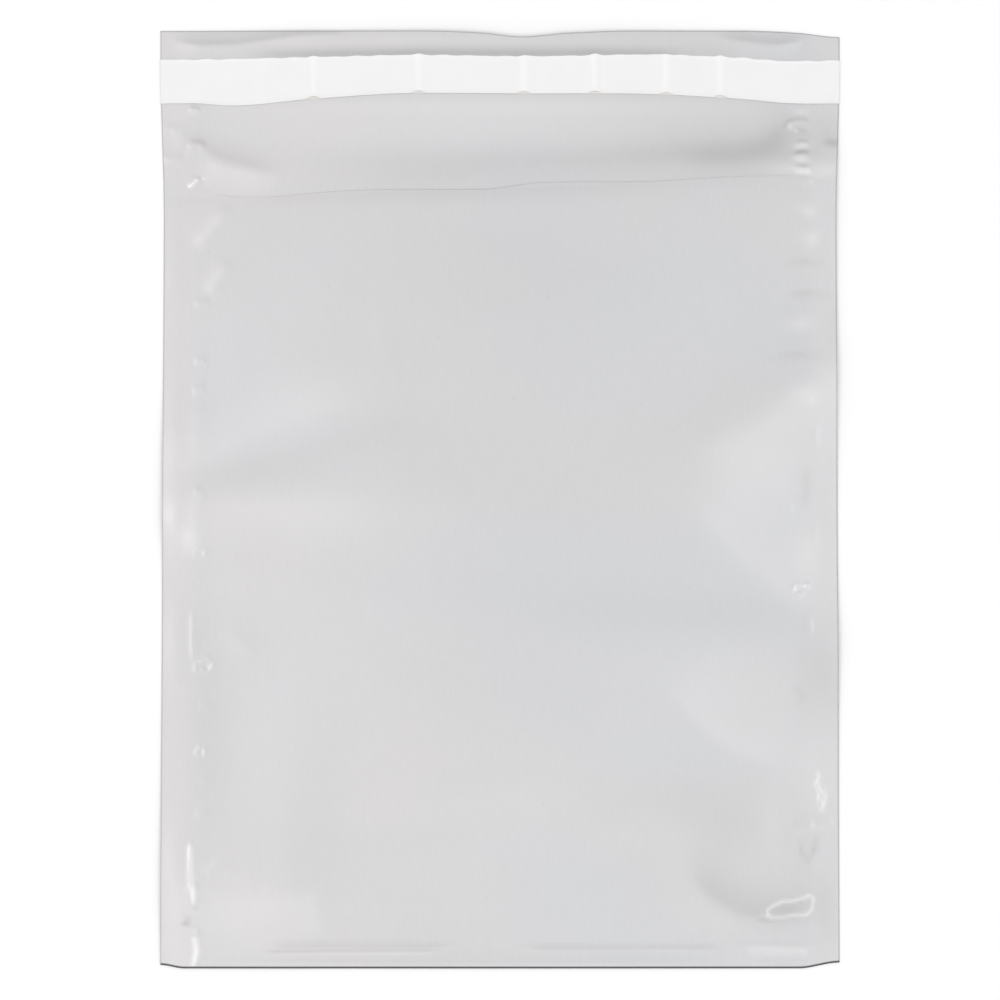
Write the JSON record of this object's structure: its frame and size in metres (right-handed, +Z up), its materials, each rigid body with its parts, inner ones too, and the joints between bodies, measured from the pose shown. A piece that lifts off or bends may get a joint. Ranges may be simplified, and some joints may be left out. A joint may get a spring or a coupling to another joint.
{
  "type": "foil envelope",
  "caption": "Flat silver film mailing envelope with heat-sealed sides and bottom, an open mouth and an unfolded flap that carries an adhesive strip under a paper release liner.",
  "frame": {"origin": "on the resting surface, under the middle of the envelope with its flap unfolded", "axes": "+X to the right, +Y towards the flap's free edge, +Z up from the surface the envelope lies on"},
  "size_m": [0.234, 0.323, 0.0082],
  "materials": {
    "silver_film": "satin silver metallised film, smooth, with soft creases",
    "adhesive": "tacky beige hot-melt adhesive",
    "liner_paper": "smooth white siliconised paper"
  },
  "bodies": {
    "root": {"film_pouch": "silver_film", "adhesive_strip": "adhesive", "release_liner": "liner_paper"}
  },
  "joints": []
}
